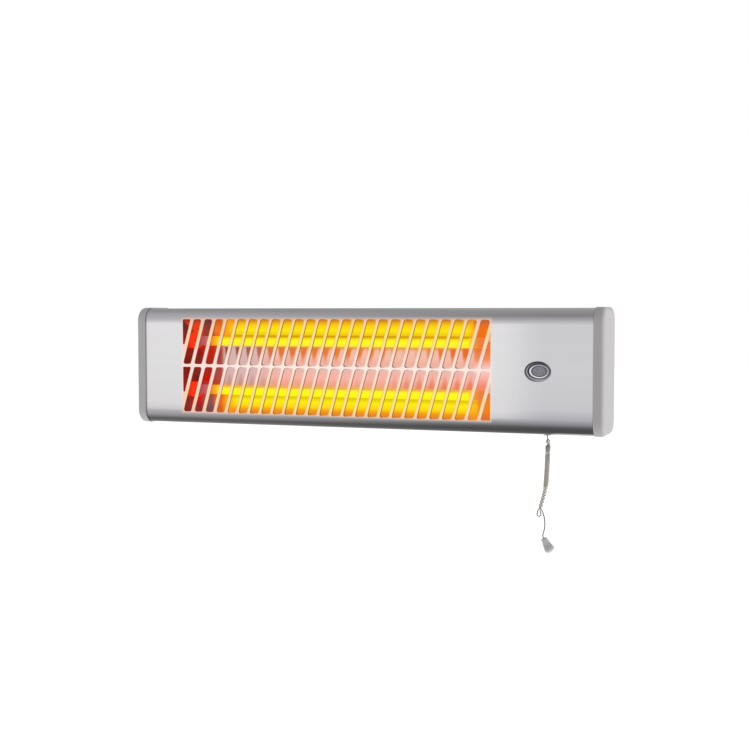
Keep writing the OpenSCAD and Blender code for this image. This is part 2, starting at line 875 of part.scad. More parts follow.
module feed_wire_lower() color("firebrick")
    wire([
        [right_end_x, tube_y, pin_side - tube_gap / 2],
        [right_end_x, tube_y, (tab_t - tube_gap) / 4],
        [lever_x, switch_mid_y, switch_top + low_turn],
        [lever_x, switch_mid_y, tab_end]
    ]);

module supply_wire() color("saddlebrown")
    wire([
        [block_x - pole_gap, crossing_y, block_z0 - seat],
        [block_x - pole_gap, crossing_y, switch_top + high_turn],
        [lever_x + switch_tab_gap, switch_mid_y, switch_top + high_turn],
        [lever_x + switch_tab_gap, switch_mid_y, tab_end]
    ]);

module earth_wire() color("yellowgreen")
    wire([
        [block_x + pole_gap, wire_y, block_z0 - seat],
        [block_x + pole_gap, wire_y, block_z0 - earth_turn],
        [earth_x, wire_y, earth_z + earth_head_r + earth_turn],
        [earth_x, wire_y, earth_z + earth_head_r + seat]
    ]);

module terminal_block() color("white")
    difference() {
        block(block_x - block_w / 2, block_x + block_w / 2,
            inner_back_y - block_d, inner_back_y, block_z0, block_z0 + block_h);
        for (p = clamp_places)
            rod_y(inner_back_y - block_d - cut, inner_back_y - clamp_floor, clamp_r + run,
                p.x, p.y);
        for (z = block_screw_zs)
            rod_y(inner_back_y - block_screw_in, inner_back_y + cut, rivet_r + run, block_x, z);
    }

module terminal_screws() color("goldenrod") {
    for (p = clamp_places)
        rod_y(inner_back_y - block_d + clamp_sunk, inner_back_y - clamp_floor, clamp_r,
            p.x, p.y);
    for (z = block_screw_zs) {
        rod_y(inner_back_y - block_screw_in, back_y, rivet_r, block_x, z);
        rod_y(back_y, back_y + rivet_head_t, 2 * rivet_r, block_x, z);
    }
}

module earth_screw() color("goldenrod") {
    rod_y(inner_back_y, back_y + earth_nut_t + fit, earth_r, earth_x, earth_z);
    rod_y(inner_back_y - earth_head_t, inner_back_y, earth_head_r, earth_x, earth_z);
    along_y(back_y, back_y + earth_nut_t)
        translate([earth_x, earth_z]) hexagon(earth_nut_across);
}

module thermal_cutout() color("darkgray") {
    x = right_face + carrier_t;
    rod_x(x, x + cutout_t, cutout_r, cutout_y, 0);
    rod_x(x - carrier_t, x, cutout_stem_r, cutout_y, 0);
    for (s = [-1, 1])
        block(x + cutout_t, x + 2 * cutout_t, cutout_y - tab_w / 2, cutout_y + tab_w / 2,
            (s * cutout_tab_gap - tab_t) / 2, (s * cutout_tab_gap + tab_t) / 2);
}

module cable_gland() color("whitesmoke")
    difference() {
        union() {
            rod_y(inner_back_y - gland_in, back_y, gland_barrel_r, gland_x, gland_z);
            rod_y(back_y, back_y + gland_flange_t, gland_flange_r, gland_x, gland_z);
            rod_y(back_y + gland_flange_t, back_y + gland_out, gland_dome_r, gland_x, gland_z);
        }
        rod_y(inner_back_y - gland_in - cut, back_y + gland_out + cut, gland_bore_r,
            gland_x, gland_z);
    }

module gland_nut() color("whitesmoke")
    difference() {
        along_y(inner_back_y - gland_nut_t, inner_back_y)
            translate([gland_x, gland_z]) hexagon(gland_nut_across);
        rod_y(inner_back_y - gland_nut_t - cut, inner_back_y + cut, gland_barrel_r + run,
            gland_x, gland_z);
    }

// ---------------------------------------------------------------- badge

module badge_at(y0, y1) along_y(y0, y1) translate([badge_x, 0]) children();

module badge_ring() color("dimgray") {
    badge_at(front_y - badge_proud, front_y) difference() {
        oval(badge_w, badge_h);
        oval(badge_w - 2 * badge_rim, badge_h - 2 * badge_rim);
    }
}

module badge_plate() color("gray") {
    badge_at(front_y - badge_proud / 2, front_y)
        oval(badge_w - 2 * badge_rim - fit, badge_h - 2 * badge_rim - fit);
    for (x = [-1, 1])
        rod_y(front_y, front_y + cover_t + badge_stud_l, badge_stud_dia / 2,
            badge_x + x * badge_stud_gap / 2, 0);
}

module badge_clip() color("silver")
    difference() {
        block(badge_x - badge_w / 2, badge_x + badge_w / 2,
            front_y + cover_t, front_y + cover_t + badge_clip_t,
            -badge_clip_h / 2, badge_clip_h / 2);
        for (x = [-1, 1])
            rod_y(front_y, front_y + cover_t + badge_clip_t + cut, badge_stud_dia / 2 + run,
                badge_x + x * badge_stud_gap / 2, 0);
    }

// ---------------------------------------------------------------- switch

module switch_body() color("whitesmoke")
    difference() {
        block(lever_x - switch_w / 2, lever_x + switch_w / 2, switch_front, inner_back_y,
            switch_z0, switch_top);
        rod_y(switch_front - cut, switch_front + pin_in_switch, lever_pin_dia / 2 + run,
            lever_x, lever_z);
        for (p = switch_screw_places)
            rod_y(inner_back_y - switch_screw_l - seat, inner_back_y + cut,
                switch_screw_r + run, p.x, p.y);
    }

module switch_screws() color("dimgray")
    for (p = switch_screw_places) {
        rod_y(inner_back_y - switch_screw_l, back_y, switch_screw_r, p.x, p.y);
        rod_y(back_y, back_y + switch_screw_r, 2 * switch_screw_r, p.x, p.y);
    }

module switch_terminals() color("goldenrod")
    for (k = [-1 : 1])
        block(lever_x + k * switch_tab_gap - switch_tab_w / 2,
            lever_x + k * switch_tab_gap + switch_tab_w / 2,
            switch_mid_y - tab_t / 2, switch_mid_y + tab_t / 2,
            switch_top, switch_top + switch_tab_l);

module switch_lever() color("ivory")
    translate([lever_x, 0, lever_z])
    rotate([0, -lever_swing, 0])
    difference() {
        union() {
            rod_y(lever_front, lever_back, lever_hub_r, 0, 0);
            block(0, lever_r + slot_in_lever, lever_front, lever_back, -lever_w / 2, lever_w / 2);
        }
        rod_y(lever_front - cut, lever_back + cut, lever_pin_dia / 2 + run, 0, 0);
        block(lever_r - slot_in_lever / 2, lever_r + slot_in_lever / 2,
            cord_y - cord_dia, cord_y + cord_dia, -lever_w, lever_w);
    }

module lever_pin() color("silver") {
    rod_y(lever_front - seat, switch_front + pin_in_switch - seat, lever_pin_dia / 2,
        lever_x, lever_z);
    rod_y(lever_front - seat - pin_head_t, lever_front - seat,
        lever_pin_dia / 2 + pin_head_rim, lever_x, lever_z);
}

module lever_spring() color("gray") {
    r = lever_pin_dia / 2 + seat + spring_wire_r;
    rise = spring_l - 2 * (seat + spring_wire_r);
    tube([for (i = [0 : spring_turns * curl_rings])
        let (a = i * 360 / curl_rings)
        [lever_x + r * cos(a),
         lever_back + seat + spring_wire_r + rise * i / (spring_turns * curl_rings),
         lever_z + r * sin(a)]], spring_wire_r, cord_sides);
}

// ---------------------------------------------------------------- pull cord

module cord_eyelet() color("white")
    translate([cord_x, cord_y, 0])
    rotate_extrude()
    polygon([
        [eyelet_bore / 2, floor_z + cover_t + eyelet_in],
        [eyelet_barrel_r, floor_z + cover_t + eyelet_in],
        [eyelet_barrel_r, floor_z],
        [eyelet_barrel_r + eyelet_rim, floor_z],
        [eyelet_barrel_r + eyelet_rim, floor_z - eyelet_edge],
        [eyelet_barrel_r - seat, eyelet_z],
        [eyelet_bore / 2 + seat, eyelet_z],
        [eyelet_bore / 2, floor_z]
    ]);

module cord_lead() color("whitesmoke")
    translate([cord_x, cord_y, 0]) {
        translate([0, 0, swivel_z + cord_gap]) cylinder(h = knot_z - swivel_z - cord_gap, r = cord_r);
        translate([0, 0, knot_z]) sphere(knot_r, $fn = 32);
    }

function ease(s) = let (c = min(max(s, 0), 1)) c * c * (3 - 2 * c);

// How far across the winding's axis is at depth t below the cord's top end
function axis_at(t) =
    let (aside = max(t - tight_to, 0))
    top_out * ease(t / top_out_l) - bow * t * t - slant * aside * aside / (aside + slant_soft);

// Point at depth t, at radius r and angle a round the winding's axis
function wound(t, r, a) =
    [cord_x + axis_at(t) + r * cos(a), cord_y + r * sin(a), swivel_z - t];

// Depth and radius of a strand that starts upright at depth t0 and lies down into the winding
function lay_down(t0, turned) =
    let (
        tight = min(turned, 360 * wrap_turns), loose = max(turned - 360 * wrap_turns, 0)
    )
    t0 + wrap_pitch * tight / 360 + loose_pitch * loose / 360
        + entry_drop * (1 - exp(-turned / entry_turn));

function lay_r(turned) =
    wrap_r - (wrap_r - loose_r) * ease((turned - 360 * wrap_turns) / 180);

function strand(t0, turned, a0) = wound(lay_down(t0, turned), lay_r(turned), a0 + turned);

strand_angle = 360 * (wrap_turns + loose_turns);
angle_step = 360 / curl_rings;
first_start = wrap_from - wrap_pitch / 4;

// The cord winds down, makes the eye, runs up through the middle and winds down again
winding_path = concat(
    [for (t = [0, 1]) wound(t, 0, 90)],
    [for (s = [0 : 0.25 : 1]) wound(lead_in + lead_l * s, wrap_r * ease(s), 90)],
    [for (a = [0 : angle_step / 2 : 90]) strand(first_start, a, 90)],
    [for (a = [90 + angle_step : angle_step : strand_angle + 90]) strand(first_start, a, 90)],
    [for (s = [0.25 : 0.25 : 0.75])
        wound(loose_to + 1 + s * (eye_drop - 1), loose_r - (loose_r - eye_r + eye_in) * ease(s),
            180)],
    [for (a = [0 : 22.5 : 180])
        wound(loose_to + eye_drop + eye_r * sin(a), 0, 0) + [eye_in - eye_r * cos(a), 0, 0]],
    [for (s = [0.25 : 0.25 : 1])
        wound(loose_to + eye_drop * (1 - s), (eye_r + eye_in) * (1 - ease(s)), 0)],
    [for (t = [loose_to - core_step : -core_step : wrap_from + core_top]) wound(t, 0, 0)],
    [for (s = [0 : 0.25 : 1])
        wound(wrap_from + top_drop - top_l * s, wrap_r * ease(s), 180)],
    [for (a = [0 : 22.5 : 180])
        wound(wrap_from - wrap_r * sin(a), 0, 0) - [wrap_r * cos(a), 0, 0]],
    [for (a = [angle_step / 2 : angle_step / 2 : 90]) strand(wrap_from, a, 0)],
    [for (a = [90 + angle_step : angle_step : strand_angle - leave_turn])
        strand(wrap_from, a, 0)],
    [strand(wrap_from, strand_angle - leave_turn, 0)]
);

// Least distance between the strands of a path, where they aren't neighbours along it
function to_segment(p, a, b) =
    let (u = b - a, s = min(max((p - a) * u / (u * u), 0), 1)) norm(p - a - s * u);

function least_gap(path, dia) =
    let (apart = 5)
    min([for (i = [0 : len(path) - 1], k = [i + apart : 1 : len(path) - 2])
        to_segment(path[i], path[k], path[k + 1])]) - dia;

module cord_winding() color("lightgray") {
    echo(winding_gap_mm = least_gap(winding_path, cord_dia));
    tube(winding_path, cord_r, cord_sides);
}

function hanging(p) = [cord_x + p.x, cord_y + p.y, swivel_z - p.z];

module cord_tail() color("lightgray") {
    knob_top = hanging(knob_at);
    above_knob = knob_top - knob_cord_in * [sin(knob_lean), 0, -cos(knob_lean)];
    last = len(winding_path) - 1;
    start = winding_path[last];
    path = concat(
        [start + 2 * fit * unit(start - winding_path[last - 1])],
        [for (p = tail_points) hanging(p)],
        [above_knob, knob_top]
    );
    tube(bent(path, 1, 3), cord_r, cord_sides);
}

module pull_knob() color("gainsboro") {
    steps = 8;
    translate(hanging(knob_at))
        rotate([0, 180 - knob_lean, 0])
        rotate_extrude()
        polygon(concat(
            [
                [0, 0], [knob_top_r, 0], [knob_top_r + knob_chamfer, knob_shoulder],
                [knob_dia / 2 - knob_chamfer, knob_l * knob_waist]
            ],
            [for (i = [0 : steps])
                let (a = 90 * i / steps)
                [knob_dia / 2 * cos(a), knob_l - knob_dome * (1 - sin(a))]]
        ));
}

// ---------------------------------------------------------------- nodes

wall_bracket();
hinge_plate();
pivot_screws();
friction_washers();
pivot_nuts();
hinge_rivets();
front_cover();
rear_casing();
left_end_cap();
right_end_cap();
end_cap_screws();
reflector();
tube_carrier_left();
tube_carrier_right();
carrier_rivets();
quartz_tube_upper();
quartz_tube_lower();
heating_coil_upper();
heating_coil_lower();
ceramic_ends_left();
ceramic_ends_right();
terminal_pins();
terminal_nuts();
link_wire();
return_wire();
feed_wire_upper();
feed_wire_lower();
supply_wire();
earth_wire();
earth_screw();
terminal_block();
terminal_screws();
thermal_cutout();
switch_body();
switch_screws();
switch_terminals();
switch_lever();
lever_pin();
lever_spring();
cord_lead();
cord_eyelet();
badge_ring();
badge_plate();
badge_clip();
cable_gland();
gland_nut();
cord_winding();
cord_tail();
pull_knob();
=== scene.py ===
import math

import bmesh
import bpy
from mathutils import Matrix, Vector


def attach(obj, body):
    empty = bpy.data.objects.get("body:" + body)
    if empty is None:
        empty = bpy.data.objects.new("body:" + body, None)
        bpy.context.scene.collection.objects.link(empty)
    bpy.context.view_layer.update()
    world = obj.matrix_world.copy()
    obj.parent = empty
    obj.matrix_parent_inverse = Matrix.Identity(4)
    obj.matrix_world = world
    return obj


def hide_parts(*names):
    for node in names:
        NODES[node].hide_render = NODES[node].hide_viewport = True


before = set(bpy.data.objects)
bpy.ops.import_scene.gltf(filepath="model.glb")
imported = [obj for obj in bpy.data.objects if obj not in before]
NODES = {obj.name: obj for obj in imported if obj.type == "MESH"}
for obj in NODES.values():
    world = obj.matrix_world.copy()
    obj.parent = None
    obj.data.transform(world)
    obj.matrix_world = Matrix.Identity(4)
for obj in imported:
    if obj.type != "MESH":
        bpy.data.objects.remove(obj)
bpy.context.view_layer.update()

SCENE = bpy.context.scene
SCENE.view_settings.view_transform = "Standard"
MM = 0.001

# Places from part.scad, in millimetres
FRONT_Y = -98
LIP_X = 248.7
GRILLE_L, GRILLE_R = -201.9, 145.2
ROW_H, UPPER_Z, LOWER_Z = 48.9, 2.15, -49.85        # the slot rows' height and lower edges
SLOT_PITCH, SLOT_W, SLOT_R = 13.5, 9.4, 2.2
SLOT_LEAN = math.tan(math.radians(15.7))
TUBE_Z, TUBE_R = 27, 5.25
CORD_X, CORD_Y, SWIVEL_Z, EXIT_Z = 197, -68, -65.2, -65.5
CAP_SCREW_X, CAP_SCREW_Z = 252.6, 40
BADGE_X, BADGE_RX, BADGE_RZ = 193.5, 13.25, 10.15

GRILLE_MID_X, GRILLE_HALF_W = (GRILLE_R + GRILLE_L) / 2, (GRILLE_R - GRILLE_L) / 2
GRILLE_MID_Z, GRILLE_HALF_H = (UPPER_Z + ROW_H + LOWER_Z) / 2, (UPPER_Z + ROW_H - LOWER_Z) / 2

# The photograph's viewpoint in millimetres: across, up, and how far before the grille
EYE_X, EYE_Z, EYE_AWAY = 470.2, 57.3, 1203.3


# ---------------------------------------------------------------- camera

def make_camera():
    """The photograph's view, from 20 degrees to the right of the grille and from a little above."""
    data = bpy.data.cameras.new("photo_camera")
    data.sensor_width = 36
    data.lens = 59.7
    data.clip_start, data.clip_end = 0.01, 50
    cam = bpy.data.objects.new("photo_camera", data)
    cam.location = (0.4702, -1.3013, 0.0573)
    cam.rotation_euler = (math.radians(90 - 2.832), 0, math.radians(20.412))
    SCENE.collection.objects.link(cam)
    SCENE.camera = cam


make_camera()


# ---------------------------------------------------------------- materials

def linear(hex_colour):
    """A colour as it is seen, such as "e0dfe0", as the linear numbers that a shader takes."""
    out = []
    for i in (0, 2, 4):
        c = int(hex_colour[i:i + 2], 16) / 255
        out.append(c / 12.92 if c <= 0.04045 else ((c + 0.055) / 1.055) ** 2.4)
    return (*out, 1.0)


class Num:
    """A node's number output, which plain arithmetic turns into Math nodes."""

    def __init__(self, look, socket):
        self.look, self.socket = look, socket

    def __add__(self, other):
        return self.look.math("ADD", self, other)

    def __sub__(self, other):
        return self.look.math("SUBTRACT", self, other)

    def __rsub__(self, other):
        return self.look.math("SUBTRACT", other, self)

    def __mul__(self, other):
        return self.look.math("MULTIPLY", self, other)

    def __truediv__(self, other):
        return self.look.math("DIVIDE", self, other)

    def __abs__(self):
        return self.look.math("ABSOLUTE", self)

    def frac(self):
        return self.look.math("FRACT", self)

    def least(self, other):
        return self.look.math("MINIMUM", self, other)

    def most(self, other):
        return self.look.math("MAXIMUM", self, other)

    def root(self):
        return self.look.math("SQRT", self)

    def wave(self):
        """From 0 to 1 and back, once for each full turn of this angle in radians."""
        return self.look.math("SINE", self) * 0.5 + 0.5

    def step(self, a, b):
        """0 below a, 1 above b, smooth between. a may be above b, and the step then goes down."""
        if a > b:
            return 1 - self.step(b, a)
        node = self.look.node("ShaderNodeMapRange", interpolation_type="SMOOTHSTEP")
        for name, value in (("Value", self), ("From Min", a), ("From Max", b)):
            self.look.put(node.inputs[name], value)
        return Num(self.look, node.outputs["Result"])


class Look:
    """A material, with short calls that make and link its nodes."""

    def __init__(self, name, roughness=0.5, metallic=0.0, specular=0.5, **constants):
        self.mat = bpy.data.materials.new(name)
        self.mat.use_nodes = True
        self.tree = self.mat.node_tree
        self.bsdf = self.tree.nodes["Principled BSDF"]
        self.set("Roughness", roughness)
        self.set("Metallic", metallic)
        self.set("Specular IOR Level", specular)
        for key, value in constants.items():
            self.set(key.replace("_", " "), value)
        place = self.node("ShaderNodeTexCoord").outputs
        scale = self.node("ShaderNodeVectorMath", operation="SCALE")
        self.put(scale.inputs[0], place["Object"])
        scale.inputs["Scale"].default_value = 1 / MM
        self.place = scale.outputs[0]
        self.x, self.y, self.z = self.split(self.place)
        self.nx, self.ny, self.nz = self.split(place["Normal"])

    def split(self, vector):
        node = self.node("ShaderNodeSeparateXYZ")
        self.put(node.inputs[0], vector)
        return [Num(self, node.outputs[i]) for i in range(3)]

    def node(self, kind, **properties):
        made = self.tree.nodes.new(kind)
        for key, value in properties.items():
            setattr(made, key, value)
        return made

    def put(self, socket, value):
        """Links or writes a value to a socket. A value of text is a colour."""
        if isinstance(value, Num):
            value = value.socket
        if isinstance(value, str):
            value = linear(value)[:len(socket.default_value)]
        if isinstance(value, bpy.types.NodeSocket):
            self.tree.links.new(value, socket)
        else:
            socket.default_value = value

    def set(self, name, value):
        self.put(self.bsdf.inputs[name], value)

    def math(self, kind, *values):
        node = self.node("ShaderNodeMath", operation=kind)
        for i, value in enumerate(values):
            self.put(node.inputs[i], value)
        return Num(self, node.outputs[0])

    def vector(self, x, y, z):
        node = self.node("ShaderNodeCombineXYZ")
        for i, value in enumerate((x, y, z)):
            self.put(node.inputs[i], value)
        return node.outputs[0]

    def noise(self, scale, detail=3, roughness=0.55, stretch=(1, 1, 1)):
        """Noise from 0 to 1, with scale features to the millimetre, times stretch along each axis."""
        node = self.node("ShaderNodeTexNoise", noise_dimensions="3D")
        self.put(node.inputs["Vector"], self.vector(
            self.x * stretch[0], self.y * stretch[1], self.z * stretch[2]))
        self.put(node.inputs["Scale"], scale)
        self.put(node.inputs["Detail"], detail)
        self.put(node.inputs["Roughness"], roughness)
        return Num(self, node.outputs[0])

    def cells(self, scale):
        """Distance from the middle of the nearest of many cells, scale of them to the millimetre."""
        node = self.node("ShaderNodeTexVoronoi", feature="F1")
        self.put(node.inputs["Vector"], self.place)
        self.put(node.inputs["Scale"], scale)
        return Num(self, node.outputs["Distance"])

    def mix(self, share, a, b):
        node = self.node("ShaderNodeMix", data_type="RGBA", blend_type="MIX")
        self.put(node.inputs[0], share)
        self.put(node.inputs[6], a)
        self.put(node.inputs[7], b)
        return node.outputs[2]

    def ramp(self, value, stops):
        """Colour along value. stops are (value, colour), from low to high."""
        low, high = stops[0][0], stops[-1][0]
        node = self.node("ShaderNodeValToRGB")
        self.put(node.inputs[0], (value - low) / (high - low))
        found = node.color_ramp.elements
        found[0].position, found[0].color = 0, linear(stops[0][1])
        found[1].position, found[1].color = 1, linear(stops[-1][1])
        for at, colour in stops[1:-1]:
            found.new((at - low) / (high - low)).color = linear(colour)
        return node.outputs[0]

    def shade(self, colour, amount, value):
        """colour made lighter and darker by amount, as value goes from 0 to 1."""
        node = self.node("ShaderNodeVectorMath", operation="SCALE")
        self.put(node.inputs[0], colour)
        self.put(node.inputs["Scale"], (value - 0.5) * (2 * amount) + 1)
        return node.outputs[0]

    def through_grille(self):
        """The x and z at which the line from the photograph's viewpoint to this point of the
        surface goes through the grille's plane. It is fixed on the surface in every view."""
        away = (self.y - FRONT_Y) / EYE_AWAY + 1
        return (self.x - EYE_X) / away + EYE_X, (self.z - EYE_Z) / away + EYE_Z

    def bump(self, height, distance, strength):
        """Bump by height, from 0 to 1, times distance in millimetres."""
        node = self.node("ShaderNodeBump")
        self.put(node.inputs["Height"], height)
        self.put(node.inputs["Distance"], distance * MM)
        self.put(node.inputs["Strength"], strength)
        self.set("Normal", node.outputs[0])


def wear(names, look):
    """Gives CAD nodes a look in place of the frame's plain one."""
    for name in [names] if isinstance(names, str) else names:
        data = NODES[name].data
        data.materials.clear()
        data.materials.append(look.mat)


# ---------------------------------------------------------------- pull cord

# The bundle is wound from two strands, half a turn apart. Depths are below the eyelet, in
# millimetres, and angles are in degrees round the bundle.
WRAP_R, WRAP_PITCH, WRAPS = 2.14, 2.095, 19             # tight turns
LOOSE_R, LOOSE_PITCH, LOOSE_LAG = 1.78, 7.4, 90         # loose turns under them, and how late they open
TOP, TIGHT_TO = 6.6, 52                                 # depths of the first turn and the last tight one
ENTRY, ENTRY_TURN = 4, 28                               # each strand's first dip, and the turn it takes
GAP, GAP_TURN = TIGHT_TO - TOP - ENTRY - WRAPS * WRAP_PITCH, 360 * 3.3     # an open place in the turns
TURNS = 22                                              # whole turns of each strand
LEAD_AT, HOOP_AT, EYE_SIDE = 268, 240, 180              # where the strands begin, and the eye's first side
LEAD_LAG = 180 - (LEAD_AT - HOOP_AT)                    # keeps the strands half a turn apart
EYE_AT, EYE_R, EYE_IN = 81, 2.15, 0.8                   # the eye's depth, radius and shift
KNOB_IN, KNOB_AT, KNOB_LEAN = 3.3, 105, math.radians(29)
TAIL = [(-5.0, -0.75, 76.8), (-3.5, -0.1, 80.2), (-2.3, 0, 85.4), (-1.9, 0, 91), (-2.5, 0, 96.8),
        (-3.7, 0, 100.6), (-4.4, 0, 103), (-KNOB_IN, 0, KNOB_AT)]      # x, y and depth


def ease(s):
    s = min(max(s, 0), 1)
    return s * s * (3 - 2 * s)


def wound(t, r, a):
    """The point at depth t, at radius r and angle a round the bundle's axis, which sets off to
    the right of the eyelet, bows to the left, and leans over more in the loose turns."""
    a = math.radians(a)
    low = max(t - TIGHT_TO, 0)
    axis = 0.7 * ease(t / 5) - 0.00075 * t * t - 0.19 * low * low / (low + 5)
    return (CORD_X + axis + r * math.cos(a), CORD_Y + r * math.sin(a), SWIVEL_Z - t)


def strand(t0, a0, turned, lag):
    """The point of a strand that began at depth t0 and angle a0, once it has turned that far. The
    open place and the loose turns come later by lag."""
    loose = max(turned - lag - 360 * WRAPS, 0)
    t = (t0 + WRAP_PITCH * turned / 360
         + (LOOSE_PITCH - WRAP_PITCH) * loose * loose / (loose + LOOSE_LAG) / 360
         + ENTRY * (1 - math.exp(-turned / ENTRY_TURN))
         + GAP * ease((turned - lag - GAP_TURN + 120) / 240))
    r = WRAP_R + 0.04 * math.sin(turned / 213) - (WRAP_R - LOOSE_R) * ease(loose / 180)
    return wound(t, r, a0 + turned)


def winding(t0, a0, last, lag):
    """One strand, until it has turned by last. Its first dip is steep, and has closer points."""
    turns = [*range(4, 80, 8), *range(90, last + 1, 15)]
    return [strand(t0, a0, turned, lag) for turned in turns]


def arch(centre, radius, a0, up, first=0):
    """Half a circle, up or down, from the side at angle a0 to the side across."""
    out = []
    for a in range(first, 181, 15):
        s, c = math.sin(math.radians(a)), math.cos(math.radians(a))
        out.append((centre[0] + radius * c * math.cos(math.radians(a0)),
                    centre[1] + radius * c * math.sin(math.radians(a0)),
                    centre[2] + radius * s * up))
    return out


def rounded(held):
    """The smooth curve (a cubic B-spline) that follows the points held."""
    out = []
    for group in zip(held, held[1:], held[2:], held[3:]):
        for s in (0.25, 0.5, 0.75, 1):
            pulls = ((1 - s) ** 3, 3 * s ** 3 - 6 * s * s + 4, 3 * s * (1 + s - s * s) + 1, s ** 3)
            out.append(tuple(sum(p * point[k] for p, point in zip(pulls, group)) / 6 for k in range(3)))
    return out


def cord_points():
    """The cord's route in millimetres, as part.scad winds it, with more and closer turns."""
    # the lead, and the strand that it goes on as
    path = [wound(t, 0, LEAD_AT) for t in (0, 0.4)]
    path += [wound(0.8 + 4.2 * s / 6, WRAP_R * ease(s / 6), LEAD_AT) for s in range(7)]
    before_eye = 60
    last = 360 * (TURNS + 1) + EYE_SIDE - LEAD_AT - before_eye
    path += winding(TOP - WRAP_PITCH * LEAD_LAG / 360, LEAD_AT, last, LEAD_LAG)
    # into the eye below, back up the middle, and over the top
    low = SWIVEL_Z - path[-1][2]
    path += [wound(low + (EYE_AT - low) * s, LOOSE_R + (EYE_R - EYE_IN - LOOSE_R) * ease(s),
                   EYE_SIDE - before_eye * (1 - s) ** 3) for s in (0.15, 0.3, 0.45, 0.6, 0.8)]
    path += arch(wound(EYE_AT, EYE_IN, 0), EYE_R, EYE_SIDE, -1, first=-15)
    path += [wound(EYE_AT - 5 * s, (EYE_R + EYE_IN) * (1 - ease(s)), 0) for s in (0.25, 0.5, 0.75, 1)]
    path += [wound(t, 0, 0) for t in range(72, 13, -4)]
    path += [wound(TOP + 5.5 - s, WRAP_R * ease(s / 5), HOOP_AT - 180) for s in range(6)]
    path += arch(wound(TOP, 0, 0), WRAP_R, HOOP_AT - 180, 1)
    path += winding(TOP, HOOP_AT, 360 * TURNS + 60, 0)
    # the tail, from the winding's end into the knob
    held = path[-2:] + [(CORD_X + x, CORD_Y + y, SWIVEL_Z - t) for x, y, t in TAIL]
    held.append(tuple(2 * b - a for a, b in zip(held[-2], held[-1])))
    path += rounded(held)
    for _ in range(2):
        path[1:-1] = [tuple((a[k] + 2 * b[k] + c[k]) / 4 for k in range(3))
                      for a, b, c in zip(path, path[1:], path[2:])]
    return path


def curve_piece(name, points, radius, look, body):
    """A round cord of that radius along the points, in millimetres."""
    data = bpy.data.curves.new(name, "CURVE")
    data.dimensions = "3D"
    data.bevel_depth = radius * MM
    data.bevel_resolution = 3
    data.use_fill_caps = True
    spline = data.splines.new("POLY")
    spline.points.add(len(points) - 1)
    for point, place in zip(spline.points, points):
        point.co = (*(v * MM for v in place), 1)
    obj = bpy.data.objects.new(name, data)
    SCENE.collection.objects.link(obj)
    data.materials.append(look.mat)
    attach(obj, body)
    return obj


def cord_look():
    """Twisted nylon, darkest at the top in painted shade under the cover, with painted shade in the
    grooves between its turns, darker where it is thin, and browner in the loose turns.
    """
    look = Look("cord_nylon_look", roughness=0.72, specular=0.2, Sheen_Weight=0.1)
    depth = SWIVEL_Z - look.z
    colour = look.ramp(depth, [
        (-3, "38352f"), (4.0, "46423c"), (5.4, "837f79"), (16, "a09c97"), (30, "aba8a2"),
        (50, "a9a69e"), (54, "a39c90"), (66, "9a9386"), (75, "8f8a82"), (79, "4a4742"),
        (100, "403d37"), (106, "4c4943")])
    colour = look.shade(colour, 0.14, look.noise(1.6, 3))
    # the turns' relief, as a bump and as painted shade in the grooves between them
    turn_relief_and_shade = (look.x * 5.2 + look.z * 7.4 + look.y * 3.1).wave()
    colour = look.shade(colour, 0.16, turn_relief_and_shade)
    look.set("Base Color", colour)
    look.bump(turn_relief_and_shade + look.noise(6, 2), 0.08, 0.6)
    return look


CORD_LOOK = cord_look()
CORD_POINTS = cord_points()
CORD = curve_piece("pull_cord", CORD_POINTS, 0.5, CORD_LOOK, "hanging_cord")
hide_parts("cord_winding", "cord_tail")


# ---------------------------------------------------------------- cover

def sheet_painted_shade(look):
    """The sheet's painted shade and reflections by height, darker over its rounded edges, and paler to the
    left of the grille than to its right.
    """
    x, z = look.x, look.z
    left = look.ramp(z, [
        (-63, "545253"), (-58, "525051"), (-54, "8b898c"), (-50, "a5a3a6"), (-47, "c8c6c8"),
        (-40, "d5d3d4"), (0, "dad9da"), (46, "dcdadc"), (50.5, "b6b3b8"), (56, "a3a1a5"),
        (63, "7a787a")])
    right = look.ramp(z, [
        (-63, "3a3939"), (-58, "424141"), (-55, "4e4e4f"), (-51, "88878c"), (-47, "aaa9af"),
        (-37, "c2c1c5"), (0, "c8c7c9"), (46, "c8c7ca"), (50.5, "a8a6ab"), (55, "828082"),
        (63, "9a9898")])
    round_part = abs(z).step(45, 52)
    share = x.step(146, 204) * (1 - abs(x - 158).step(14, 0) * 0.4)
    share = share + (x.step(-190, 235) - share) * round_part
    return look.mix(share, left, right)


def brushed(look, *colours):
    """The colours with fine streaks along the body, as sheet that was brushed along its length."""
    fine = look.noise(1.0, 3, 0.6, stretch=(0.012, 2.2, 2.2))
    coarse = look.noise(1.0, 2, 0.5, stretch=(0.003, 0.5, 0.5))
    look.set("Roughness", fine * 0.10 + 0.30)
    look.bump(fine, 0.006, 0.35)
    return [look.shade(look.shade(colour, 0.03, fine), 0.03, coarse) for colour in colours]


def off_grille(look):
    """The distance outward from the slotted area, and 0 within it."""
    out_x = (abs(look.x - GRILLE_MID_X) - GRILLE_HALF_W).most(0)
    out_z = (abs(look.z - GRILLE_MID_Z) - GRILLE_HALF_H).most(0)
    return (out_x * out_x + out_z * out_z).root()


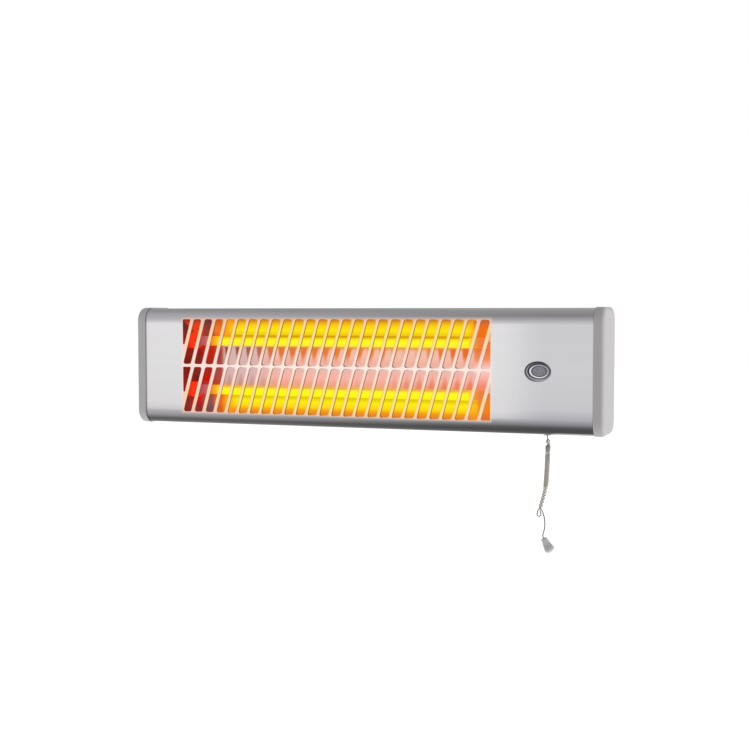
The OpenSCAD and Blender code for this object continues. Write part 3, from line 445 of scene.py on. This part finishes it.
def slot_place(look):
    """The distance to the right of a bar's left edge (its right edge is at 4.1, and the next bar
    at 13.5), and the distance outward from the rounded edge of the nearest slot."""
    upper = look.z.step(GRILLE_MID_Z - 0.01, GRILLE_MID_Z + 0.01)
    bottom = upper * (UPPER_Z - LOWER_Z) + LOWER_Z
    along = (look.x - GRILLE_R + (bottom + ROW_H - look.z) * SLOT_LEAN) / SLOT_PITCH
    across = along.frac() * SLOT_PITCH
    bar = SLOT_PITCH - SLOT_W
    u = (abs(across - bar - SLOT_W / 2) - SLOT_W / 2).least(abs(across + SLOT_W / 2) - SLOT_W / 2)
    v = abs(look.z - bottom - ROW_H / 2) - ROW_H / 2
    u, v = u + SLOT_R, v + SLOT_R
    corner = (u.most(0) * u.most(0) + v.most(0) * v.most(0)).root()
    return across, corner + u.most(v).least(0) - SLOT_R


def bars_painted_light(look, off):
    """The bars between the slots, in painted light from the tubes, with a painted dark line of shade round
    each slot.
    """
    x, height = look.x, abs(look.z)
    bars = look.ramp(height, [
        (0, "f8e6dd"), (5, "fbddd0"), (16, "fbd6c2"), (21, "fad29a"), (26, "f9e77c"),
        (31, "fadb86"), (37, "fce080"), (44, "fcd98c"), (48, "f8cc9c"), (52, "dcb49c")])
    left_edge = look.ramp(height, [
        (0, "eeccc0"), (18, "eec6b8"), (23, "f0d460"), (42, "f0d058"), (47, "ecb470"),
        (52, "dcae94")])
    line = look.ramp(height, [
        (0, "8e7474"), (5, "94706c"), (16, "94605a"), (22, "a88430"), (42, "a8802c"),
        (47, "a8682c"), (52, "ac7044")])
    ends = look.ramp(height, [
        (0, "f8dcd6"), (20, "f6d0c6"), (30, "f4ccb2"), (44, "f0c8b2"), (51, "e0c0b2")])
    across, from_slot = slot_place(look)
    in_row = off.step(0.5, 0.1) * abs(look.z - GRILLE_MID_Z).step(1.4, 2.0)
    # the bars' left edges, painted in the tubes' light
    bars = look.mix(across.step(1.3, 0) * in_row * 0.6, bars, left_edge)
    # the dark line round each slot is painted shade
    left_of_slot = across.step(1.8, 2.8) * across.step(10.5, 5.5) * 0.65 + 0.35
    bars = look.mix(from_slot.step(1.0, 0.25) * left_of_slot, bars, line)
    # past the coils the bars take a paler, pinker painted light
    past_coils = (x.step(-128, -178) * 0.85).most(x.step(108, 136) * 0.6)
    return look.mix(past_coils, bars, ends)


def cover_look():
    """Brushed sheet, with painted shade and reflections over its rounded edges, and painted yellow and
    pink light from behind at the grille.
    """
    look = Look("cover_steel_look", metallic=1.0)
    height, front = abs(look.z), abs(look.ny)
    colour, flat_sides = brushed(look, sheet_painted_shade(look), "bbbabd")
    # painted light that the glowing tubes throw on the sheet round the grille
    off = off_grille(look)
    halo = off.step(3.4, -0.8) * front.step(0.5, 0.9)
    colour = look.mix(halo * 0.8, colour, look.ramp(height, [
        (0, "f6e2dc"), (44, "f2d6c4"), (53, "dcb9a2")]))
    in_grille = off.step(1.0, 0.0) * front.step(0.7, 0.95)
    colour = look.mix(in_grille, colour, bars_painted_light(look, off))
    # the sheet's cut edges in the slots, painted dark as shade, tinted by the tubes' painted light
    cut = front.step(0.6, 0.3) * off.step(1.0, 0.1) * look.y.step(-96, -97)
    colour = look.mix(cut, colour, look.ramp(height, [
        (0, "94706a"), (16, "8a5a4a"), (22, "8c6a20"), (40, "8c6c18"), (52, "8a5020")]))
    # a painted highlight: a pale line along the lower edge, near the right cap
    lower_edge = look.z.step(-60.8, -61.3) * look.z.step(-62.7, -62.2)
    glint = lower_edge * look.x.step(196, 216) * front.step(0.02, 0.1)
    colour = look.mix(glint * 0.75, colour, "b4b4b2")
    # the flat top and underside, which the photograph doesn't show
    colour = look.mix(abs(look.nz).step(0.975, 0.998), colour, flat_sides)
    # the shadow in the joint with each cap
    colour = look.mix(abs(look.x).step(LIP_X - 1.2, LIP_X - 0.1) * 0.6, colour, "4a4848")
    look.set("Base Color", colour)
    return look


wear("front_cover", cover_look())


# ---------------------------------------------------------------- glowing pieces

COIL_PITCH = 1.6
AMBER = "f8981a"


def glow(look, colour, base="181412"):
    """A surface that shows colour by its own light, over a nearly black base: the coils' glow, and
    elsewhere painted light and reflections.
    """
    look.set("Base Color", base)
    look.set("Emission Color", colour)
    look.set("Emission Strength", 1.0)
    return look


def coil_turns(look):
    """From 0 to 1 and back with each turn of the coil."""
    return (look.x * (2 * math.pi / COIL_PITCH)).wave()


def lit_troughs(look, seen_x):
    """Painted light in the troughs: yellow outside the tubes and pink between them, which is greyer near
    the cold left end.
    """
    z = look.z
    upper = look.ramp(z, [
        (0, "e8bcb0"), (4, "efb09d"), (10, "f2bcaa"), (17, "f1bba8"), (20, "e6a648"),
        (24, "d8a020"), (32.4, "ca900a"), (34, "f2ca10"), (39, "fae40e"), (44, "f8ce0d"),
        (48, "e49e18"), (51.5, "a86420"), (56, "8a5030")])
    lower = look.ramp(z, [
        (-56, "a05a30"), (-50, "e07f2a"), (-47, "f2980a"), (-43.5, "fad612"), (-39, "fbea14"),
        (-35, "e2ca08"), (-31, "f0c020"), (-23.5, "ecac38"), (-20, "f0aa88"), (-13, "f7b7aa"),
        (-5, "edb6aa"), (0, "e6beb4")])
    lit = look.mix(z.step(-0.6, 0.6), lower, upper)
    between = 1 - abs(z).step(19, 23)
    return look.mix(seen_x.step(-84, -122) * between * 0.8, lit, "d2b2b2")


def wedges(look, lit, tints, faint, seen_x, drop, anchor, pitch, lean, sharp):
    """A row of painted reflected wedges over the colour lit, as drop grows from their feet towards their
    points.
    """
    along = (seen_x - anchor + drop * lean) / pitch + 0.5
    half = 3.7 - drop * 0.2
    wedge = ((half - abs(along.frac() - 0.5) * pitch) * sharp + 0.5).most(0).least(1)
    strength = drop.step(18, 3) * drop.step(-3.2, -1.6) * seen_x.step(132, 127) * (1 - faint)
    return look.mix(wedge * strength, lit, tints)


def mirrored_grille(look, lit, seen_x, seen_z):
    """The grille's painted reflection in the slopes between the tubes: points down above the ridge, points
    up below it.
    """
    tints = look.ramp(seen_x, [
        (-160, "902c20"), (-118, "a85a50"), (-92, "dc7434"), (10, "ea8036"), (62, "ee8a50"),
        (104, "ea7030"), (140, "e86018")])
    faint = seen_x.step(34, 46) * seen_x.step(84, 68) * 0.6
    lit = wedges(look, lit, tints, faint, seen_x, 19 - seen_z,
                 anchor=-32.5, pitch=12.7, lean=0.1, sharp=0.5)
    tints = look.ramp(seen_x, [
        (-160, "a05a50"), (-110, "b87c7a"), (-90, "f0968a"), (30, "f29e8a"), (62, "ea8266"),
        (140, "e87650")])
    faint = seen_x.step(62, 20) * 0.4 + 0.15
    return wedges(look, lit, tints, faint, seen_x, seen_z + 19,
                  anchor=83.5, pitch=13.5, lean=-0.1, sharp=0.3)


def cold_end(look, lit, seen_x, outer, soft):
    """Painted reflections in dark reds, in three strips at the left end, where no coil glows."""
    z = look.z
    far = look.ramp(z, [
        (-54, "6a3434"), (-46, "962824"), (-36, "dc0c0a"), (-26, "a01c14"), (-16, "6c2018"),
        (0, "862820"), (13, "8a1c10"), (24, "b42410"), (36, "e83c10"), (46, "d03c18"),
        (52, "6a3028")])
    near = look.ramp(z, [
        (-54, "6a4444"), (-42, "84504e"), (-30, "a84038"), (-16, "c01408"), (0, "9a2a20"),
        (13, "c01c08"), (26, "ac2c18"), (40, "8a3a30"), (54, "4a2a2a")])
    fringe = look.ramp(z, [
        (-52, "c05020"), (-40, "f06c1c"), (-26, "c03c20"), (-14, "ae4840"), (0, "a04840"),
        (14, "a43a2c"), (24, "d84010"), (38, "f07828"), (52, "b85020")])
    colour = look.mix(seen_x.step(-181, -175), far, near)
    colour = look.shade(colour, 0.3, soft)
    colour = look.mix(seen_x.step(-167, -161), colour, fringe)
    lit = look.mix(seen_x.step(-134, -150) * outer * 0.9, lit, AMBER)
    return look.mix(seen_x.step(-156, -149), colour, lit)


def warm_end(look, colour, seen_x, outer):
    """Painted orange light at the right end, past the coils."""
    warm = look.ramp(look.z, [
        (-54, "c86038"), (-42, "f08018"), (-28, "f08030"), (-18, "f48c70"), (0, "f8d0cc"),
        (10, "ee9060"), (22, "ec6c18"), (42, "f07010"), (54, "9a5a48")])
    colour = look.mix(seen_x.step(120, 128) * outer * 0.6, colour, AMBER)
    return look.mix((seen_x - look.z.step(-20, -28) * 4).step(126, 131), colour, warm)


def reflector_look():
    """What the lit reflector mirrors, painted on it as the photograph shows it."""
    look = Look("reflector_look", roughness=0.35, specular=0.05)
    seen_x, seen_z = look.through_grille()
    soft = look.noise(0.06, 3)
    outer = abs(look.z).step(24, 31)
    colour = mirrored_grille(look, lit_troughs(look, seen_x), seen_x, seen_z)
    colour = cold_end(look, colour, seen_x, outer, soft)
    colour = warm_end(look, colour, seen_x, outer)
    return glow(look, look.shade(colour, 0.05, soft))


def carrier_look(name, left):
    """The plates at the troughs' ends, in painted light from the tubes: dark red at the left, orange at
    the right.
    """
    look = Look(name, roughness=0.45, specular=0.1)
    z = look.z
    soft = look.noise(0.11, 3)
    if left:
        colour = look.ramp(z, [
            (-54, "582c2c"), (-44, "7e2c26"), (-26, "981c18"), (0, "6c1e18"), (20, "981c12"),
            (36, "722822"), (54, "4c2a2c")])
        deep = look.y.step(-70, -60) * z.step(28, 36)
        colour = look.mix(deep, colour, look.mix(soft.step(0.45, 0.6), "e83c10", "7a3020"))
    else:
        colour = look.ramp(z, [
            (-54, "c06038"), (-44, "ee8010"), (-30, "f08418"), (-18, "f09070"), (0, "f4b8b0"),
            (14, "ee8448"), (30, "f07810"), (46, "e07020"), (54, "905040")])
    return glow(look, look.shade(colour, 0.25, soft))


def tube_look(name, centre):
    """Quartz tube: the coil inside glows yellow, painted darker towards the tube's upper edge, and past
    its ends the tube shows painted red and pink light.
    """
    look = Look(name, roughness=0.12, specular=0.1)
    x = look.x
    if centre > 0:
        across = look.ramp(look.z - centre, [
            (-TUBE_R, "f0c448"), (-4.6, "fbe33e"), (-3.6, "fbf02b"), (0.4, "fcf915"),
            (2.4, "fce91c"), (3.8, "f4d217"), (4.4, "dcaa08"), (TUBE_R, "c89008")])
    else:
        across = look.ramp(look.z - centre, [
            (-TUBE_R, "efde0c"), (-4.7, "faef18"), (-2.6, "faf814"), (0.5, "faf814"),
            (2.4, "fde737"), (3.4, "edc836"), (4.3, "e2ac44"), (TUBE_R, "eaa85c")])
    colour = look.ramp(x, [
        (-206, "d83018"), (-194, "b8444a"), (-186, "c06468"), (-181, "f08020"),
        (-169, "fcd010"), (-158, "fdf010"), (114, "fdf010"), (121, "f8a020"), (127, "ec7e3c"),
        (150, "dc7048")])
    colour = look.mix(x.step(-176, -160) * x.step(119, 114), colour, across)
    return glow(look, look.shade(colour, 0.03, coil_turns(look)), base="100c0a")


def ceramic_look(name, left):
    """Grainy ceramic, in painted red light at the left and orange light at the right."""
    look = Look(name, roughness=0.6, specular=0.15)
    if left:
        stops = [(-214, "4a2018"), (-209.5, "c81c08"), (-205, "ff2c08"), (-200, "ff3a10"),
                 (-197, "e8301a"), (-196, "c02c1c")]
    else:
        stops = [(140, "e87020"), (146, "f07818"), (152, "c06030"), (157, "503028")]
    grain = look.noise(0.7, 3)
    look.bump(grain, 0.15, 0.5)
    return glow(look, look.shade(look.ramp(look.x, stops), 0.12, grain))


def coil_look():
    """Glowing wire, whose turns are drawn on the coil's plain rod."""
    look = Look("coil_look", roughness=0.6)
    return glow(look, look.mix(coil_turns(look), "ff9000", "ffe860"))


wear("reflector", reflector_look())
wear("tube_carrier_left", carrier_look("carrier_left_look", True))
wear("tube_carrier_right", carrier_look("carrier_right_look", False))
wear("quartz_tube_upper", tube_look("tube_upper_look", TUBE_Z))
wear("quartz_tube_lower", tube_look("tube_lower_look", -TUBE_Z))
wear("ceramic_ends_left", ceramic_look("ceramic_left_look", True))
wear("ceramic_ends_right", ceramic_look("ceramic_right_look", False))
wear(["heating_coil_upper", "heating_coil_lower"], coil_look())


# ---------------------------------------------------------------- plastics, metals, wires

def moulded(name, grain, roughness, height=0.05):
    """Plastic without a colour yet, and the fine spark-eroded grain on it."""
    look = Look(name, specular=0.4)
    fine = look.noise(1.9, 3, 0.6)
    look.set("Roughness", fine * 0.16 + (roughness - 0.08))
    look.bump(fine, height, grain)
    return look, fine


def plastic(name, colour, grain=0.5, roughness=0.48, height=0.05, spread=0.03):
    """Moulded plastic with faint flow marks. colour may be a function that gives it for the look."""
    look, fine = moulded(name, grain, roughness, height)
    tone = colour(look) if callable(colour) else colour
    tone = look.shade(tone, spread, look.noise(0.02, 2))
    look.set("Base Color", look.shade(tone, spread, fine))
    return look


def cap_look(name, front, side):
    """Moulded grey plastic, with painted light making it a little paler on its outer side than on its rim.
    """
    return plastic(name, lambda look: look.mix(abs(look.nx).step(0.3, 0.8), front, side),
                   grain=0.35, roughness=0.5)


def knob_look():
    """Moulded grey plastic, with painted shade round its middle and a painted highlight at its round end.
    """
    look, _ = moulded("knob_plastic_look", grain=0.3, roughness=0.42)
    across, down = look.x - (CORD_X - KNOB_IN), look.z - (SWIVEL_Z - KNOB_AT)
    along = across * math.sin(KNOB_LEAN) - down * math.cos(KNOB_LEAN)
    colour = look.ramp(along, [
        (0, "a4a4a3"), (4, "b6b6b5"), (9, "a09f9e"), (13, "a8a8a7"), (16, "cfcfce")])
    look.set("Base Color", look.shade(colour, 0.03, look.noise(1.9, 3)))
    return look


def metal(name, colour, roughness):
    """Plain or plated metal, with a fine grain and faint clouds."""
    look = Look(name, metallic=1.0)
    grain = look.noise(0.9, 4, 0.6)
    colour = look.shade(colour, 0.08, grain)
    look.set("Base Color", look.shade(colour, 0.08, look.noise(0.05, 3)))
    look.set("Roughness", grain * 0.18 + (roughness - 0.09))
    look.bump(grain, 0.02, 0.4)
    return look


def galvanised(name, colour):
    """Zinc-coated sheet, with its pale patchwork of crystals."""
    look = Look(name, metallic=0.85)
    flake = look.cells(0.16)
    fine = look.noise(1.4, 3)
    tone = look.shade(colour, 0.07, flake)
    tone = look.shade(tone, 0.05, look.noise(0.16, 1))
    look.set("Base Color", look.shade(tone, 0.03, fine))
    look.set("Roughness", flake * 0.10 + fine * 0.08 + 0.33)
    look.bump(fine, 0.012, 0.4)
    return look


def screw_look(name, colour, x_at, z_at, reach, width):
    """Plated screw, with a cross recess drawn in its head as a bump and painted dark shade."""
    look = Look(name, metallic=1.0)
    u, v = abs(abs(look.x) - x_at), abs(abs(look.z) - z_at)
    arms = [a.step(reach, reach * 0.9) * b.step(width, width * 0.6) for a, b in ((u, v), (v, u))]
    cross = arms[0].most(arms[1])
    grain = look.noise(1.3, 3)
    look.set("Base Color", look.mix(cross * 0.85, look.shade(colour, 0.10, grain), "1c1c1e"))
    look.set("Roughness", grain * 0.15 + 0.28)
    look.bump(1 - cross, 0.5, 0.8)
    return look


# the right cap is painted a little darker than the left, as shade
wear("left_end_cap", cap_look("left_cap_look", "a9a7a8", "afadae"))
wear("right_end_cap", cap_look("right_cap_look", "a09d9e", "adabac"))
wear("rear_casing", galvanised("casing_steel_look", "c9cbcd"))
wear("hinge_plate", galvanised("hinge_steel_look", "c4c6c8"))
wear("wall_bracket", galvanised("bracket_steel_look", "d2d3d4"))
wear(["hinge_rivets", "carrier_rivets"], metal("rivet_aluminium_look", "b8babd", 0.38))
wear("end_cap_screws", screw_look("cap_screw_look", "9c9ea2", CAP_SCREW_X, CAP_SCREW_Z, 1.7, 0.32))
wear("pivot_screws", metal("pivot_screw_look", "9a9ca0", 0.3))
wear("pivot_nuts", metal("pivot_nut_look", "b4b4b2", 0.33))
wear("switch_screws", metal("switch_screw_look", "8e9094", 0.32))
wear("friction_washers", plastic("washer_fibre_look", "7a3526", grain=0.8, roughness=0.75,
                                 height=0.12, spread=0.12))
wear(["terminal_pins", "terminal_nuts", "terminal_screws", "earth_screw"],
     metal("brass_look", "c9a64e", 0.32))
wear("switch_terminals", metal("terminal_steel_look", "b0b2b5", 0.3))
wear("lever_pin", metal("pin_steel_look", "a8aaae", 0.25))
wear("lever_spring", metal("spring_steel_look", "8f9196", 0.28))
wear("badge_clip", metal("clip_steel_look", "a9abae", 0.3))
wear("thermal_cutout", metal("cutout_look", "a2a4a6", 0.36))
wear("terminal_block", plastic("block_plastic_look", "d9d6cc"))
wear("switch_body", plastic("switch_plastic_look", "dcdad4"))
wear("switch_lever", plastic("lever_plastic_look", "cfc8b4"))
wear(["cable_gland", "gland_nut"], plastic("gland_plastic_look", "c6c7c6", grain=0.6))
wear("cord_eyelet", plastic("eyelet_plastic_look", "8c8a86", grain=0.3))
wear("pull_knob", knob_look())
wear("cord_lead", CORD_LOOK)
for wire, sleeve in (("link_wire", "8e2a22"), ("return_wire", "2c4f96"),
                     ("feed_wire_upper", "8e2a22"), ("feed_wire_lower", "8e2a22"),
                     ("supply_wire", "6a4026"), ("earth_wire", "8aa02c")):
    wear(wire, plastic(wire + "_look", sleeve, roughness=0.55, height=0.06, spread=0.10))


# ---------------------------------------------------------------- badge

def oval(dx, dz, radius_x, radius_z):
    """The distance from an oval's middle, as a share of its radius in that direction."""
    return (dx * dx / (radius_x ** 2) + dz * dz / (radius_z ** 2)).root()


def badge_look():
    """Bare metal, with painted light: a dark outer ring lit at its right, a paler band lit at its lower
    left and right, a bright oval line with a painted highlight at its lower left, and a turned field.
    """
    look = Look("badge_metal_look", metallic=1.0)
    dx, dz = look.x - BADGE_X, look.z
    out = oval(dx, dz, BADGE_RX, BADGE_RZ)
    inside = oval(dx - 1.5, dz - 0.3, 8.7, 5.9)
    # painted light: the lower left of the band and of the oval line, and the right side of the ring, band
    # and groove, are lighter as lit
    lit_low_left = (dx * 0.5 + dz * 0.9 + look.noise(0.5, 2) * 4 - 2).step(6, -6)
    right = (dx * 0.8 - dz * 0.6).step(-2, 9)
    ring = look.mix(right, "2e2e32", "8c8c90")
    band = look.mix(right, look.mix(lit_low_left, "5c5c60", "98989c"), "a6a6aa")
    colour = look.mix(out.step(0.93, 0.83), ring, band)
    colour = look.mix(inside.step(1.42, 1.28), colour, look.mix(right, "38383c", "58585c"))
    colour = look.mix(inside.step(1.17, 1.10), colour, look.mix(lit_low_left, "9e9ea2", "e4e4e8"))
    lines = (inside * 34 + look.noise(0.5, 2) * 7).wave()
    field = look.mix(lines, "4c4c52", "9a9aa0")
    field = look.mix(inside.step(0.66, 0.92) * 0.7, field, "3a3a40")
    colour = look.mix(inside.step(0.98, 0.92), colour, field)
    grain = look.noise(1.2, 3)
    look.set("Base Color", look.shade(colour, 0.12, grain))
    look.set("Roughness", grain * 0.16 + 0.26)
    look.bump(lines * inside.step(0.96, 0.90) + grain * 0.2, 0.05, 0.6)
    return look


# The badge's section: millimetres in from its rim, and out from the cover
BADGE_SECTION = [
    (0, 0), (0, 0.62), (0.12, 0.92), (0.45, 1.12), (0.95, 1.2), (1.5, 1.14), (2.1, 0.92),
    (2.5, 0.66), (2.75, 0.56), (3.0, 0.6), (3.2, 0.82), (3.45, 0.94), (3.75, 0.94), (4.0, 0.8),
    (4.2, 0.56), (4.6, 0.5), (5.4, 0.46), (6.4, 0.44), (7.6, 0.44), (8.8, 0.46), (9.8, 0.48)]


def badge():
    """An oval ring round a dished oval plate, both bare."""
    around = 96
    bm = bmesh.new()
    loops = []
    for inset, rise in BADGE_SECTION:
        radius_x, radius_z = BADGE_RX - inset, BADGE_RZ - inset * 0.98
        turns = [2 * math.pi * i / around for i in range(around)]
        loops.append([bm.verts.new(((BADGE_X + radius_x * math.cos(a)) * MM, (FRONT_Y - rise) * MM,
                                    radius_z * math.sin(a) * MM)) for a in turns])
    for a, b in zip(loops, loops[1:]):
        for i in range(around):
            j = (i + 1) % around
            bm.faces.new((a[i], a[j], b[j], b[i]))
    bm.faces.new(loops[-1])
    bm.faces.new(list(reversed(loops[0])))
    bmesh.ops.recalc_face_normals(bm, faces=bm.faces)
    data = bpy.data.meshes.new("badge")
    bm.to_mesh(data)
    bm.free()
    for face in data.polygons:
        face.use_smooth = True
    obj = bpy.data.objects.new("badge", data)
    SCENE.collection.objects.link(obj)
    data.materials.append(badge_look().mat)
    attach(obj, "heater")
    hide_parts("badge_ring", "badge_plate")


badge()


# ---------------------------------------------------------------- stage

FLOOR_Z = -620


def white_floor():
    """A plain white floor below the heater, which keeps a faint shadow."""
    bpy.ops.mesh.primitive_plane_add(size=30, location=(0, 0, FLOOR_Z * MM))
    floor = bpy.context.object
    floor.name = "floor"
    look = bpy.data.materials.new("floor_look")
    look.use_nodes = True
    sockets = look.node_tree.nodes["Principled BSDF"].inputs
    sockets["Base Color"].default_value = linear("ececec")
    sockets["Roughness"].default_value = 0.9
    sockets["Specular IOR Level"].default_value = 0.1
    sockets["Emission Color"].default_value = linear("ffffff")
    sockets["Emission Strength"].default_value = 0.62
    floor.data.materials.append(look)


def plain_world():
    """A world that lights softly, and is white where it is seen, in gloss and glass too."""
    world = bpy.data.worlds.new("studio")
    SCENE.world = world
    world.use_nodes = True
    nodes, link = world.node_tree.nodes, world.node_tree.links.new
    nodes.clear()
    mix = nodes.new("ShaderNodeMixShader")
    for socket, colour, strength in ((1, "fafafa", 0.56), (2, "ffffff", 1.0)):
        background = nodes.new("ShaderNodeBackground")
        background.inputs["Color"].default_value = linear(colour)
        background.inputs["Strength"].default_value = strength
        link(background.outputs[0], mix.inputs[socket])
    rays = nodes.new("ShaderNodeLightPath").outputs
    seen = rays["Is Camera Ray"]
    for kind in ("Is Glossy Ray", "Is Transmission Ray"):
        most = nodes.new("ShaderNodeMath")
        most.operation = "MAXIMUM"
        link(seen, most.inputs[0])
        link(rays[kind], most.inputs[1])
        seen = most.outputs[0]
    link(seen, mix.inputs[0])
    link(mix.outputs[0], nodes.new("ShaderNodeOutputWorld").inputs[0])


def soft_lamp(name, place, aim, size, power):
    """A round lamp of that size in metres and power in watts."""
    data = bpy.data.lights.new(name, "AREA")
    data.shape = "DISK"
    data.size = size
    data.energy = power
    lamp = bpy.data.objects.new(name, data)
    lamp.location = place
    # the brushed sheet's shade and reflections are painted, so the lamps leave no streak on it
    lamp.visible_glossy = False
    lamp.rotation_euler = (Vector(aim) - Vector(place)).to_track_quat("-Z", "Y").to_euler()
    SCENE.collection.objects.link(lamp)


white_floor()
plain_world()
soft_lamp("key", (2.4, 0.1, 0.5), (0.1, -0.06, 0), 1.2, 21)
soft_lamp("fill", (-1.5, -1.9, 1.0), (0, -0.06, 0), 1.6, 4)
